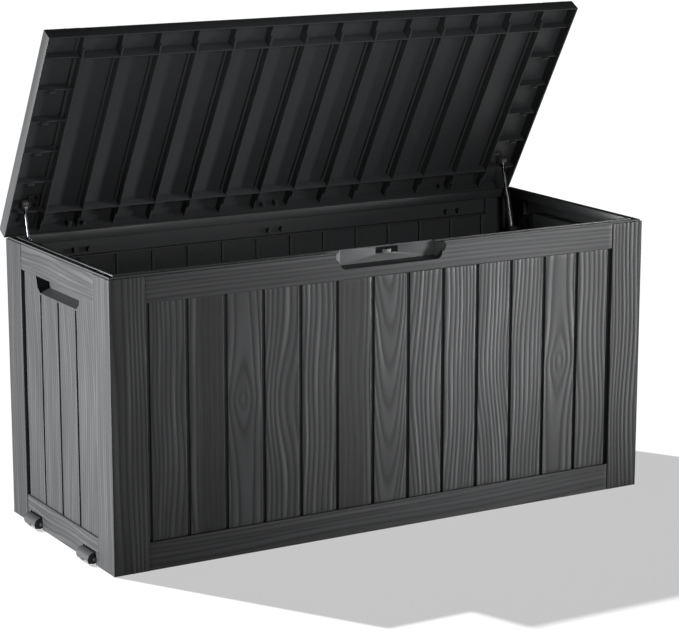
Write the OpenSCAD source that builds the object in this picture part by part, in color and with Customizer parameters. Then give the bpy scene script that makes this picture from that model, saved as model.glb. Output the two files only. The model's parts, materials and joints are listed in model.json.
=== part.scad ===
// Deck storage box: four board-patterned wall panels on a ribbed base, a ribbed lid on three
// hinges, two gas struts that hold the lid open, and two rollers under the left end.
// Millimetres, +Z up. The origin is the middle of the footprint, on the floor.
// X runs along the box, +Y points to the hinged back. The lid is drawn open, against its stop.

/* [Box] */
// Width of the box from side to side
body_w = 1170; // [960:10:1400]
// Depth of the box from front to back
body_d = 466; // [420:2:600]
// Height of the walls up to the shoulder that the lid sits on
wall_h = 548; // [450:2:660]
// Thickness of the moulded skins
skin = 3; // [2.6:0.1:3.4]
// Thickness of the stiffening ribs
rib_t = 2.4; // [1.8:0.1:3]
// Clearance between two wall panels where they meet at a corner
joint_gap = 0.15; // [0.1:0.05:0.4]

/* [Board pattern] */
// Width of the upright boards at the ends of the front, the back and the lid
stile_w = 72; // [66:1:90]
// Width of the upright boards at the ends of the two sides
side_stile_w = 69; // [66:1:80]
// Height of the top rail on the walls
top_rail_h = 50; // [44:1:60]
// Height of the bottom rail on the walls
bottom_rail_h = 54; // [48:1:70]
// How far the rails sit behind the upright boards
rail_inset = 1.2; // [0.8:0.1:2]
// How far the planks sit behind the upright boards
plank_inset = 4; // [3:0.5:5]
// Depth of the grooves below the plank faces
groove_depth = 5; // [2:0.5:6]
// Width of the groove between two planks
groove_w = 6.5; // [3:0.5:8]
// Width of the groove between the planks and an upright board
edge_groove_w = 8; // [4:0.5:9]
// Number of planks across the front, the back and the lid
front_planks = 13; // [9:1:15]
// Number of planks across each side
side_planks = 4; // [3:1:5]

/* [Rim] */
// Width of the shoulder outside the rim that the lid skirt sits over
shoulder_w = 3.2; // [3:0.1:4]
// Height of the outer lip of the rim above the shoulder
outer_lip_h = 3; // [2:0.5:4]
// Height of the inner lip of the rim above the shoulder
inner_lip_h = 4.5; // [3:0.5:5.5]
// Overall width of the rim, gutter included
rim_w = 22; // [20:0.5:24]
// Width of the inner lip
inner_lip_w = 6; // [4:0.5:7]

/* [Grips] */
// Width of the front grip pocket at its top
grip_w = 242; // [180:2:280]
// Depth of the front grip pocket below the shoulder
grip_h = 30; // [24:1:34]
// Slope taken up by each end of the front grip pocket
grip_slope = 19; // [12:1:22]
// Width of the lock slot in the back of the front grip pocket
lock_slot_w = 50; // [40:1:70]
// Width of the side handle pockets at their top
handle_w = 202; // [150:2:210]
// Height of the side handle pocket mouths
handle_h = 31; // [26:1:36]
// Depth of the side handle pockets from the outer face
handle_depth = 27.4; // [22:0.2:30]
// Rise of the pocket behind the top rail, for the finger tips
handle_rise = 12; // [6:1:16]

/* [Lid] */
// Height of the lid skirt
lid_h = 27.5; // [24:0.5:36]
// How far the lid stands past the front and the back of the box
lid_overhang = 2.5; // [1.5:0.5:5]
// Thickness of the lid skirt
skirt_t = 2.6; // [2:0.1:2.6]
// Clearance under the skirt of the closed lid
lid_gap = 0.4; // [0.3:0.1:1]
// Width of the front and back boards of the lid
lid_rail_w = 52.5; // [44:0.5:64]
// Depth of the lid planks below the end boards
lid_plank_inset = 2.5; // [1.5:0.5:3]
// Height cut from the lid ribs to clear the rim
rib_relief_h = 7; // [6:0.5:9]
// Width of the relief in the lid ribs, from the outer face of the skirt
rib_relief_w = 30; // [28:1:34]
// Opening angle of the lid at its stop
lid_open = 59.25; // [45:0.25:60]

/* [Hinges] */
// Distance of the outer hinges from the middle
hinge_x = 430; // [300:10:440]
// Length of a hinge
hinge_len = 50; // [44:1:70]
// How far the hinge pins stand behind the back of the box
hinge_out = 4; // [3.8:0.1:5]
// How far the hinge pins sit below the shoulder
hinge_drop = 4.5; // [4.5:0.1:6]
// Radius of the hinge knuckles
knuckle_r = 4.5; // [4:0.1:4.5]
// Radius of the hinge pins
pin_r = 2; // [1.5:0.1:2.2]
// Thickness of the hinge leaves
leaf_t = 2; // [1.6:0.1:2.2]
// End clearance between two knuckles
knuckle_gap = 0.4; // [0.3:0.1:0.8]
// Radial clearance of pins and axles in their bores
run_gap = 0.08; // [0.03:0.01:0.1]

/* [Gas struts] */
// Distance of the struts in from the outside of the sides
strut_in = 34; // [32:1:40]
// Distance of the lower pivots in front of the back face
strut_low_in = 55; // [52:1:60]
// Depth of the lower pivots below the shoulder
strut_low_drop = 78; // [74:1:90]
// Distance of the upper pivots in front of the back face, lid closed
strut_up_in = 67; // [64:1:72]
// Height of the upper pivots above the shoulder, lid closed
strut_up_rise = 14; // [12:0.5:15]
// Radius of the strut cylinder
cylinder_r = 7; // [6:0.5:7.5]
// Radius of the strut rod
rod_r = 3; // [2.5:0.5:4]
// Radius of the studs
stud_r = 3; // [2.5:0.1:3.2]
// Radial play of the upper socket round its stud
socket_play = 3.3; // [3.1:0.1:3.5]

/* [Rollers] */
// Distance of the middle of each roller from the middle of the side
roller_y = 122.5; // [100:0.5:140]
// Radius of the rollers
roller_r = 10; // [9:0.5:10.5]
// Width of the rollers
roller_w = 46; // [30:1:56]
// Height of the roller axles above the floor
roller_z = 11; // [11:0.5:14]
// How far the roller axles stand outside the side face
roller_out = 1.5; // [0.5:0.5:4]
// Radius of the axles
axle_r = 2.5; // [2:0.1:3]
// Thickness of the roller hood
hood_t = 1.8; // [1.4:0.1:2]

/* [Base] */
// Height of the floor inside the box
floor_z = 25; // [22:1:32]
// Distance of the base skirt behind the outer faces of the walls
base_in = 12.3; // [12.3:0.1:14]
// Distance between two base ribs
base_rib_pitch = 97.5; // [80:0.5:120]
// Radius of the foot pads
foot_r = 26; // [18:1:32]

/* [Hidden] */

resin = "#3a3b3d";
resin_dark = "#2c2d2e";
steel = "#9a9c9e";
black_paint = "#1d1d1f";
roller_black = "#161617";

$fn = 48;
over = 0.5;                                 // overlap of two shapes of one moulding
far = 60;                                   // reach of a cutting shape past what it cuts
front_inner = body_w - 2 * stile_w;         // between the upright boards, front and lid
side_inner = body_d - 2 * side_stile_w;     // between the upright boards, sides
groove_floor = plank_inset + groove_depth;  // depth of a groove from the outer face
shelf_depth = groove_floor + skin + 4;      // how deep the shelves behind the rails go
rim_top = wall_h + inner_lip_h;
lip_t = 2.4;                                // thickness of the outer lip of the rim
rim_skirt_h = 13;                           // how far the rim turns down inside the box

// Screws: one size, with a cross recess
screw_r = 1.7;
screw_gap = 0.02;                           // radial clearance of a screw in its boss
set_gap = 0.01;                             // radial clearance of a pin that is set fast
hole_gap = 0.4;                             // radial clearance of a screw in a plain hole
head_r = 3.6;
head_h = 2.4;
boss_r = 5;

// Corner flanges of the front and back, screwed to bosses on the sides
flange_in = 13;                             // outer face of a flange from the side face
flange_depth = 24;
corner_screw_in = 15;                       // screw line from the front or back face
corner_screw_z = [wall_h * 0.18, wall_h * 0.5, wall_h * 0.84];
corner_flange_z = [bottom_rail_h + 8, wall_h - top_rail_h - 4];

// Base screws go through the base skirt into bosses on the rails
base_screw_z = 14;
base_screw_front = [-0.376 * body_w, -0.128 * body_w, 0.128 * body_w, 0.376 * body_w];
base_screw_side = [-38, 38];

// Lid
lid_d = body_d + 2 * lid_overhang;
lid_bottom = wall_h + lid_gap;
lid_top = lid_bottom + lid_h;
lid_under = lid_top - skin;                 // underside of the end boards
relief_z = lid_bottom + rib_relief_h;
end_rib_y = [for (k = [-2.5 : 1 : 2.5]) k * (lid_d - 2 * lid_rail_w) / 5];
lid_boss_drop = 12.5;                       // hinge screws below the lid top

// Hinges
hinge_y = body_d / 2 + hinge_out;
hinge_z = wall_h - hinge_drop;
hinge_at = [-hinge_x, 0, hinge_x];
body_knuckle = 0.42 * hinge_len;
leaf_h = 38;
leaf_screw_x = 15;
body_leaf_screw_z = wall_h - 36;

// Struts: the lid pivot closed, then turned about the hinge to where the open lid holds it
strut_x = body_w / 2 - strut_in;
low_y = body_d / 2 - strut_low_in;
low_z = wall_h - strut_low_drop;
up_y = body_d / 2 - strut_up_in;
up_z = wall_h + strut_up_rise;
open_y = hinge_y + cos(lid_open) * (up_y - hinge_y) + sin(lid_open) * (up_z - hinge_z);
open_z = hinge_z - sin(lid_open) * (up_y - hinge_y) + cos(lid_open) * (up_z - hinge_z);
strut_len = norm([open_y - low_y, open_z - low_z]);
strut_closed = norm([up_y - low_y, up_z - low_z]);
strut_angle = atan2(open_z - low_z, open_y - low_y);
socket_r = stud_r + socket_play + 1.4;
socket_w = 12;
socket_boss = 4;                            // boss that the rod is set in
low_socket_r = stud_r + 4;
tube_foot = low_socket_r + 2;
tube_top = strut_closed - socket_r - socket_boss - 0.8;
tube_wall = 2;
guide_h = 3;                                // rod guide at the top of the cylinder
piston_h = 3;
rod_foot = tube_top - guide_h - piston_h - 1;
bracket_in = 9;                             // inner face of the bracket bosses
bracket_t = 2;
bracket_screw = 16;                         // screws above and below a lower pivot
ear_x = strut_x - socket_w / 2 - 2;         // outer face of a lid bracket's ear
ear_t = 2.5;

// Rollers
axle_x = body_w / 2 + roller_out;
side_play = 0.5;                            // gap at each end of a roller
cheek_t = 2.5;
hood_gap = 1;
hood_r = roller_r + hood_gap + hood_t;
hood_w = roller_w + 2 * (side_play + cheek_t);
arch_gap = 2;                               // gap round the hood in the wall
plate_in = rail_inset + skin;               // back plate behind the rail skin
plate_t = 2.6;
plate_h = 40;
plate_side = 13;                            // how far the plate stands past the hood
plate_screw_z = 38;
washer_r = 6;

// ---- helpers ---------------------------------------------------------------------------------

function plank_w(inner, n) = (inner - 2 * edge_groove_w - (n - 1) * groove_w) / n;
function plank_x(i, inner, n) =
    -inner / 2 + edge_groove_w + i * (plank_w(inner, n) + groove_w);

// Outline of a skin that follows planks and grooves: outer face, then back along the inner face
function board_outline(inner, n, face, base) =
    let (w = plank_w(inner, n))
    concat(
        [[-inner / 2 - over, base]],
        [for (i = [0 : n - 1]) let (x = plank_x(i, inner, n))
            each [[x, base], [x, face], [x + w, face], [x + w, base]]],
        [[inner / 2 + over, base], [inner / 2 + over, base + skin]],
        [for (i = [n - 1 : -1 : 0]) let (x = plank_x(i, inner, n))
            each [[x + w - skin, base + skin], [x + w - skin, face + skin],
                [x + skin, face + skin], [x + skin, base + skin]]],
        [[-inner / 2 - over, base + skin]]);

// Places a wall drawn with its outer face on the XZ plane: 0 front, 1 right, 2 back, 3 left
module wall_place(side) {
    reach = side % 2 == 0 ? body_d / 2 : body_w / 2;
    rotate([0, 0, 90 * side]) translate([0, -reach, 0]) children();
}

module both_ends() {
    children();
    mirror([1, 0, 0]) children();
}

// Turns the closed lid to its open stop
module lid_pose() {
    translate([0, hinge_y, hinge_z]) rotate([-lid_open, 0, 0])
        translate([0, -hinge_y, -hinge_z]) children();
}

// Strut frame: origin on the lower pivot, +Z along the strut; side is -1 left or 1 right
module strut_place(side) {
    translate([side * strut_x, low_y, low_z]) rotate([strut_angle - 90, 0, 0]) children();
}

// Roller frame: origin on the axle, middle of the roller
module roller_place(end) {
    translate([-axle_x, end * roller_y, roller_z]) children();
}

module along_y(r, len) {
    rotate([90, 0, 0]) cylinder(r = r, h = len, center = true);
}

module along_x(r, len) {
    rotate([0, 90, 0]) cylinder(r = r, h = len, center = true);
}

// Screw that points along +Z, with the underside of its head at the origin
module screw(len, hr = head_r) {
    difference() {
        union() {
            translate([0, 0, -head_h]) cylinder(r = hr, h = head_h);
            cylinder(r = screw_r, h = len);
        }
        for (a = [0, 90]) rotate([0, 0, a])
            translate([0, 0, -head_h]) cube([3.6, 0.8, 2.4], center = true);
    }
}

// ---- walls -----------------------------------------------------------------------------------

module stile_board(len, inner) {
    linear_extrude(wall_h) polygon([[-len / 2 + joint_gap, 0], [-inner / 2, 0],
        [-inner / 2, groove_floor + skin], [-inner / 2 - skin, groove_floor + skin],
        [-inner / 2 - skin, skin], [-len / 2 + joint_gap + skin, skin]]);
}

// Rim: shoulder, outer lip, gutter, inner lip and a turned-down inner skirt
module rim_bar(len) {
    bead = rim_w - inner_lip_w;
    gutter = wall_h + 0.6;
    rotate([90, 0, 90]) linear_extrude(len, center = true) polygon([
        [rail_inset + 0.6, wall_h - skin], [rail_inset + 0.6, wall_h], [shoulder_w, wall_h],
        [shoulder_w, wall_h + outer_lip_h], [shoulder_w + lip_t, wall_h + outer_lip_h],
        [shoulder_w + lip_t, gutter], [bead, gutter], [bead, rim_top], [rim_w, rim_top],
        [rim_w, wall_h - rim_skirt_h], [rim_w - lip_t, wall_h - rim_skirt_h],
        [rim_w - lip_t, wall_h - skin]]);
}

module rail_bar(inner, z, h) {
    translate([-inner / 2 - over, rail_inset, z]) cube([inner + 2 * over, skin, h]);
}

module shelf(inner, z) {
    translate([-inner / 2 - over, rail_inset, z])
        cube([inner + 2 * over, shelf_depth - rail_inset, skin]);
}

module mitre_cut(len) {
    reach = len / 2 - joint_gap;
    translate([0, 0, -far]) linear_extrude(wall_h + 2 * far)
        polygon([[reach + far, -far], [reach - far, far], [reach + far, far]]);
}

module wall_shell(len, inner, planks) {
    difference() {
        union() {
            both_ends() stile_board(len, inner);
            translate([0, 0, bottom_rail_h - skin])
                linear_extrude(wall_h - top_rail_h - bottom_rail_h + 2 * skin)
                    polygon(board_outline(inner, planks, plank_inset, groove_floor));
            rail_bar(inner, 0, bottom_rail_h);
            rail_bar(inner, wall_h - top_rail_h, top_rail_h);
            shelf(inner, bottom_rail_h - skin);
            shelf(inner, wall_h - top_rail_h);
            translate([-len / 2, rail_inset, 0]) cube([len, base_in + 6 - rail_inset, skin]);
            rim_bar(len);
        }
        both_ends() mitre_cut(len);
    }
}

// Boss on the inside of a wall, its blind pilot hole open to the inside
module boss(u, z, from, to) {
    translate([u, from, z]) rotate([-90, 0, 0]) cylinder(r = boss_r, h = to - from);
}

module pilot(u, z, from, to) {
    translate([u, from, z]) rotate([-90, 0, 0])
        cylinder(r = screw_r + screw_gap, h = to - from);
}

module corner_flanges(len) {
    z0 = corner_flange_z[0];
    z1 = corner_flange_z[1];
    both_ends() difference() {
        translate([len / 2 - flange_in - skin, skin - over, z0])
            cube([skin, flange_depth - skin + over, z1 - z0]);
        for (z = corner_screw_z) translate([len / 2 - flange_in, corner_screw_in, z])
            along_x(screw_r + hole_gap, 4 * skin);
    }
}

module long_wall() {
    wall_shell(body_w, front_inner, front_planks);
    corner_flanges(body_w);
    for (u = base_screw_front) base_boss(u);
}

module base_boss(u) {
    difference() {
        boss(u, base_screw_z, rail_inset + skin - over, base_in);
        pilot(u, base_screw_z, rail_inset + skin, base_in);
    }
}

// Front grip: a scoop with sloping ends and floor, open upwards through the outer lip
module grip_shape(grow) {
    depth = rim_w - lip_t + grow;
    top = wall_h + (grow > 0 ? 0 : far);
    half = grip_w / 2 + grow;
    low = wall_h - grip_h - grow;
    face = grow > 0 ? rail_inset : -far;
    rise = 5;
    intersection() {
        linear_extrude(top) polygon([[-half, -far], [half, -far], [half, rail_inset],
            [half - grip_slope, depth], [-half + grip_slope, depth], [-half, rail_inset]]);
        rotate([90, 0, 90]) linear_extrude(2 * half, center = true) polygon([[face, low],
            [rail_inset + 1, low], [depth, low + rise], [depth, top], [face, top]]);
        rotate([90, 0, 0]) linear_extrude(4 * far, center = true) grip_outline(half, low, top);
    }
}

module grip_outline(half, low, top) {
    round_r = 12;
    lean = 9;
    union() {
        polygon([[-half, low + lean + round_r], [-half + lean, low + round_r],
            [half - lean, low + round_r], [half, low + lean + round_r], [half, top], [-half, top]]);
        translate([-half + lean + round_r, low])
            square([2 * (half - lean - round_r), 2 * round_r]);
        for (s = [-1, 1]) translate([s * (half - lean - round_r), low + round_r])
            circle(r = round_r);
    }
}

// Lock slot: a wide slot with a tongue left standing in its middle
module lock_slot() {
    tongue = 18;
    translate([0, rim_w - lip_t / 2, wall_h - 4.5]) difference() {
        cube([lock_slot_w, 4 * lip_t, 12], center = true);
        translate([0, 0, -3]) cube([tongue, 5 * lip_t, 7], center = true);
    }
}

module front_panel() {
    color(resin) wall_place(0) difference() {
        union() {
            long_wall();
            grip_shape(lip_t);
        }
        grip_shape(0);
        lock_slot();
    }
}

module back_panel() {
    color(resin) wall_place(2) {
        difference() {
            union() {
                long_wall();
                for (x = hinge_at, s = [-1, 1])
                    boss(x + s * leaf_screw_x, body_leaf_screw_z, rail_inset + over, 15);
            }
            for (x = hinge_at, s = [-1, 1])
                pilot(x + s * leaf_screw_x, body_leaf_screw_z, 0, 13);
        }
    }
}

function handle_outline(grow) =
    let (top = wall_h - top_rail_h + handle_rise + grow, low = wall_h - top_rail_h - handle_h - grow,
        half = handle_w / 2 + grow)
    [[-half + 19, low], [half - 19, low], [half - 8, low + 8], [half, low + handle_h + grow],
        [half, top], [-half, top], [-half, low + handle_h + grow], [-half + 8, low + 8]];

// Side handle: a blind pocket below the top rail that turns up behind it
module handle_shape(grow) {
    low = wall_h - top_rail_h - handle_h - grow;
    rise = 6.8;
    lip = rail_inset + skin + 2 * skin - grow;
    mouth = grow > 0 ? plank_inset : -far;
    intersection() {
        rotate([90, 0, 90]) linear_extrude(2 * handle_w, center = true) polygon([
            [mouth, low], [plank_inset, low], [handle_depth + grow, low + rise],
            [handle_depth + grow, wall_h - top_rail_h + handle_rise + grow],
            [lip, wall_h - top_rail_h + handle_rise + grow],
            [lip, wall_h - top_rail_h], [mouth, wall_h - top_rail_h]]);
        rotate([90, 0, 0]) linear_extrude(4 * far, center = true)
            polygon(handle_outline(grow));
    }
}

module side_wall() {
    difference() {
        union() {
            wall_shell(body_d, side_inner, side_planks);
            handle_shape(skin);
            for (z = corner_screw_z, s = [-1, 1])
                boss(s * (body_d / 2 - corner_screw_in), z, skin - over, flange_in);
        }
        handle_shape(0);
        for (z = corner_screw_z, s = [-1, 1])
            pilot(s * (body_d / 2 - corner_screw_in), z, skin + 1, flange_in);
    }
    for (u = base_screw_side) base_boss(u);
}

module bracket_bosses(toward_back) {
    u = toward_back * low_y;
    for (s = [-1, 1]) difference() {
        boss(u, low_z + s * bracket_screw, skin - over, bracket_in);
        pilot(u, low_z + s * bracket_screw, skin, bracket_in + over);
    }
}

module left_panel() {
    color(resin) wall_place(3) {
        difference() {
            union() {
                side_wall();
                for (e = [-1, 1], s = [-1, 1])
                    boss(e * roller_y + s * (hood_w / 2 + plate_side / 2), plate_screw_z,
                        rail_inset + over, plate_in + plate_t);
            }
            for (e = [-1, 1]) translate([e * roller_y, 0, 0])
                cube([hood_w + 2 * arch_gap, far, 2 * (roller_z + hood_r + arch_gap)],
                    center = true);
            for (e = [-1, 1], s = [-1, 1])
                pilot(e * roller_y + s * (hood_w / 2 + plate_side / 2), plate_screw_z,
                    rail_inset + 1, plate_in + plate_t + 1);
        }
        bracket_bosses(-1);
    }
}

module right_panel() {
    color(resin) wall_place(1) {
        side_wall();
        bracket_bosses(1);
    }
}

// ---- base ------------------------------------------------------------------------------------

module base_panel() {
    w = body_w - 2 * base_in;
    d = body_d - 2 * base_in;
    foot_x = [-4 * base_rib_pitch, 0, 4 * base_rib_pitch];
    color(resin_dark) difference() {
        union() {
            translate([-w / 2, -d / 2, floor_z - skin]) cube([w, d, skin]);
            translate([0, 0, skin]) linear_extrude(floor_z - skin) difference() {
                square([w, d], center = true);
                square([w - 2 * skin, d - 2 * skin], center = true);
            }
            for (k = [-5 : 5]) translate([k * base_rib_pitch - rib_t / 2, -d / 2 + 1, skin])
                cube([rib_t, d - 2, floor_z - 2 * skin + over]);
            for (y = [-150, -75, 0, 75, 150]) translate([-w / 2 + 1, y - rib_t / 2, skin])
                cube([w - 2, rib_t, floor_z - 2 * skin + over]);
            for (x = foot_x, y = [-150, 0, 150]) translate([x, y, 0])
                cylinder(r = foot_r, h = floor_z - over);
        }
        for (x = foot_x, y = [-150, 0, 150]) translate([x, y, skin])
            cylinder(r = foot_r - skin, h = floor_z - 2 * skin);
        for (side = [0, 2]) wall_place(side) for (u = base_screw_front)
            base_hole(u);
        for (side = [1, 3]) wall_place(side) for (u = base_screw_side)
            base_hole(u);
    }
}

module base_hole(u) {
    translate([u, base_in - 1, base_screw_z]) rotate([-90, 0, 0])
        cylinder(r = screw_r + hole_gap, h = skin + 2);
}

// ---- lid -------------------------------------------------------------------------------------

module lid_shell() {
    difference() {
        translate([-body_w / 2, -lid_d / 2, lid_bottom]) cube([body_w, lid_d, lid_h]);
        translate([-body_w / 2 + skirt_t, -lid_d / 2 + skirt_t, lid_bottom - 1])
            cube([body_w - 2 * skirt_t, lid_d - 2 * skirt_t, lid_h + 1 - skin]);
        // planks between the end boards and the front and back boards
        translate([-front_inner / 2, -lid_d / 2 + lid_rail_w, lid_bottom])
            cube([front_inner, lid_d - 2 * lid_rail_w, 2 * lid_h]);
        // the front and back boards lie a little lower, behind a groove at each end board
        for (s = [-1, 1]) translate([-front_inner / 2, s * (lid_d / 2 - lid_rail_w / 2), lid_top])
            translate([0, -lid_rail_w / 2 - 1, -rail_inset / 2])
                cube([front_inner, lid_rail_w + 2, rail_inset]);
        both_ends() translate([front_inner / 2 - groove_w, -lid_d / 2 - 1, lid_top - 2])
            cube([groove_w, lid_d + 2, 2 + over]);
    }
    translate([0, 0, lid_top]) rotate([90, 0, 0])
        linear_extrude(lid_d - 2 * lid_rail_w + 2 * over, center = true)
            mirror([0, 1, 0]) polygon(board_outline(front_inner, front_planks, lid_plank_inset,
                lid_plank_inset + groove_depth));
    // side of each end groove, and the backing where it runs on through the front and back boards
    rail = lid_d / 2 - lid_rail_w;
    deep = lid_plank_inset + groove_depth + skin;
    both_ends() {
        translate([front_inner / 2, -rail - over, lid_top - deep])
            cube([skin, 2 * (rail + over), deep - 1]);
        for (s = [-1, 1])
            translate([front_inner / 2 - groove_w / 2, s * (rail + lid_rail_w / 2 - 1), lid_top - 4.1])
                cube([groove_w + 2 * skin, lid_rail_w, 3.8], center = true);
    }
}

// Rib along Y on each groove line, relieved at both ends to clear the rim
module lid_long_ribs() {
    inner = lid_d / 2 - skirt_t + over;
    relief = lid_d / 2 - rib_relief_w;
    rail = lid_d / 2 - lid_rail_w;
    top = lid_top - lid_plank_inset - groove_depth - 1;
    for (i = [0 : front_planks]) {
        step = plank_w(front_inner, front_planks) + groove_w;
        x = i == 0 ? -front_inner / 2 + edge_groove_w / 2
            : i == front_planks ? front_inner / 2 - edge_groove_w / 2
            : plank_x(i, front_inner, front_planks) - groove_w / 2;
        translate([x, 0, 0]) rotate([90, 0, 90]) linear_extrude(rib_t, center = true)
            polygon([[-inner, relief_z], [-relief, relief_z], [-relief, lid_bottom],
                [relief, lid_bottom], [relief, relief_z], [inner, relief_z],
                [inner, lid_top - 2.5], [rail, lid_top - 2.5], [rail, top],
                [-rail, top], [-rail, lid_top - 2.5], [-inner, lid_top - 2.5]]);
    }
}

// Rib across each end board, with a tab that drops inside the rim
module lid_end_ribs() {
    outer = body_w / 2 - skirt_t + over;
    tab_out = body_w / 2 - 24.5;
    tab_in = body_w / 2 - 39;
    inner = front_inner / 2 - over;
    for (y = end_rib_y) {
        plain = abs(y) > lid_d / 2 - lid_rail_w - 1;
        drop = plain ? relief_z : lid_bottom;
        both_ends() translate([0, y, 0]) rotate([90, 0, 0])
            linear_extrude(rib_t, center = true) polygon([[outer, relief_z],
                [tab_out, relief_z], [tab_out - (plain ? 0 : 2), drop], [tab_in, drop],
                [tab_in, relief_z], [inner - edge_groove_w / 2, relief_z],
                [inner - edge_groove_w / 2, lid_top - 2.5], [outer, lid_top - 2.5]]);
    }
}

module lid_cross_ribs() {
    rail = lid_d / 2 - lid_rail_w;
    for (s = [-1, 1]) translate([-front_inner / 2, s * rail - rib_t / 2, lid_bottom])
        cube([front_inner, rib_t, lid_h - rail_inset]);
}

module lid_hinge_bosses() {
    for (x = hinge_at, s = [-1, 1])
        translate([x + s * leaf_screw_x, lid_d / 2 - 14, lid_top - lid_boss_drop])
            rotate([-90, 0, 0]) cylinder(r = boss_r, h = 14 - skirt_t + over);
}

module lid() {
    color(resin) lid_pose() difference() {
        union() {
            lid_shell();
            lid_long_ribs();
            lid_end_ribs();
            lid_cross_ribs();
            lid_hinge_bosses();
            for (s = [-1, 1], k = [-1, 1]) translate([s * (ear_x - 16), up_y + 9 * k, lid_under - 4])
                cylinder(r = 4, h = 4 + over);
        }
        for (x = hinge_at, s = [-1, 1])
            translate([x + s * leaf_screw_x, lid_d / 2 - 12, lid_top - lid_boss_drop])
                rotate([-90, 0, 0]) cylinder(r = screw_r + screw_gap, h = 13);
        for (s = [-1, 1], k = [-1, 1]) translate([s * (ear_x - 16), up_y + 9 * k, lid_under - 5])
            cylinder(r = screw_r + screw_gap, h = 6);
    }
}

// ---- hinges ----------------------------------------------------------------------------------

// A leaf's plate with its two screw holes; y0 is its inner face
module leaf_plate(x, y0, z0, h, hole_z) {
    difference() {
        translate([x - hinge_len / 2, y0, z0]) cube([hinge_len, leaf_t, h]);
        for (s = [-1, 1]) translate([x + s * leaf_screw_x, y0, hole_z])
            along_y(screw_r + hole_gap, 4 * leaf_t);
    }
}

// Knuckle with the web that ties it to a plate; lo and hi bound the web in Z
module knuckle(x, len, y0, lo, hi) {
    translate([x, hinge_y, hinge_z]) along_x(knuckle_r, len);
    translate([x - len / 2, y0, lo]) cube([len, leaf_t, hi - lo]);
}

module body_leaf(x) {
    y0 = body_d / 2 - rail_inset;
    z0 = hinge_z - leaf_h;
    difference() {
        union() {
            leaf_plate(x, y0, z0, leaf_h - knuckle_r - 1, body_leaf_screw_z);
            knuckle(x, body_knuckle, y0 + 0.6, hinge_z - knuckle_r - 2, hinge_z);
        }
        translate([x, hinge_y, hinge_z]) along_x(pin_r + set_gap, 2 * hinge_len);
    }
}

module lid_leaf(x) {
    y0 = lid_d / 2;
    side_len = (hinge_len - body_knuckle) / 2 - knuckle_gap;
    lid_pose() difference() {
        union() {
            leaf_plate(x, y0, lid_bottom + 2, lid_h - 4, lid_top - lid_boss_drop);
            for (s = [-1, 1]) knuckle(x + s * (hinge_len - side_len) / 2, side_len, y0,
                hinge_z, lid_bottom + 3);
        }
        translate([x, hinge_y, hinge_z]) along_x(pin_r + run_gap, 2 * hinge_len);
    }
}

module hinge_pin(x) {
    translate([x, hinge_y, hinge_z]) {
        along_x(pin_r, hinge_len + 2);
        for (s = [-1, 1]) translate([s * (hinge_len / 2 + 1.2), 0, 0]) along_x(pin_r + 1.2, 1.6);
    }
}

module hinge_left_body_leaf() color(black_paint) body_leaf(-hinge_x);
module hinge_left_lid_leaf() color(black_paint) lid_leaf(-hinge_x);
module hinge_left_pin() color(steel) hinge_pin(-hinge_x);
module hinge_centre_body_leaf() color(black_paint) body_leaf(0);
module hinge_centre_lid_leaf() color(black_paint) lid_leaf(0);
module hinge_centre_pin() color(steel) hinge_pin(0);
module hinge_right_body_leaf() color(black_paint) body_leaf(hinge_x);
module hinge_right_lid_leaf() color(black_paint) lid_leaf(hinge_x);
module hinge_right_pin() color(steel) hinge_pin(hinge_x);

// ---- gas struts ------------------------------------------------------------------------------

// Plate on the side wall with a stud that the lower socket turns on
module body_bracket(side) {
    plate_x = body_w / 2 - bracket_in - bracket_t;
    color(steel) {
        difference() {
            translate([side > 0 ? plate_x : -plate_x - bracket_t, low_y - 9,
                low_z - bracket_screw - 7]) cube([bracket_t, 18, 2 * bracket_screw + 14]);
            for (s = [-1, 1]) translate([side * plate_x, low_y, low_z + s * bracket_screw])
                along_x(screw_r + hole_gap, 4 * bracket_t);
        }
        stud_len = plate_x - strut_x + socket_w / 2 + 2;
        translate([side * (plate_x - stud_len / 2 + over / 2), low_y, low_z])
            along_x(stud_r, stud_len + over);
        translate([side * (strut_x + socket_w / 2 + 2), low_y, low_z]) along_x(stud_r + 2, 3);
        translate([side * (strut_x - socket_w / 2 - 1.2), low_y, low_z]) along_x(stud_r + 1, 1.6);
    }
}

module lower_socket(side) {
    color(black_paint) strut_place(side) difference() {
        union() {
            along_x(low_socket_r, socket_w);
            cylinder(r = low_socket_r - 1.5, h = tube_foot);
        }
        along_x(stud_r + run_gap, 2 * socket_w);
        translate([0, 0, tube_foot - 4.6]) cylinder(r = rod_r + set_gap, h = 5);
    }
}

module strut_cylinder(side) {
    floor_h = tube_foot + 1.5;
    color(black_paint) strut_place(side) difference() {
        union() {
            translate([0, 0, tube_foot]) cylinder(r = cylinder_r, h = tube_top - tube_foot);
            translate([0, 0, tube_foot - 4.5]) cylinder(r = rod_r, h = 5);
        }
        translate([0, 0, floor_h])
            cylinder(r = cylinder_r - tube_wall, h = tube_top - guide_h - floor_h);
        translate([0, 0, floor_h]) cylinder(r = rod_r + run_gap, h = tube_top);
    }
}

module strut_rod(side) {
    color(steel) strut_place(side) {
        translate([0, 0, rod_foot]) cylinder(r = rod_r, h = strut_len - socket_r - rod_foot + 0.6);
        translate([0, 0, rod_foot]) cylinder(r = cylinder_r - tube_wall - run_gap, h = piston_h);
    }
}

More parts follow.
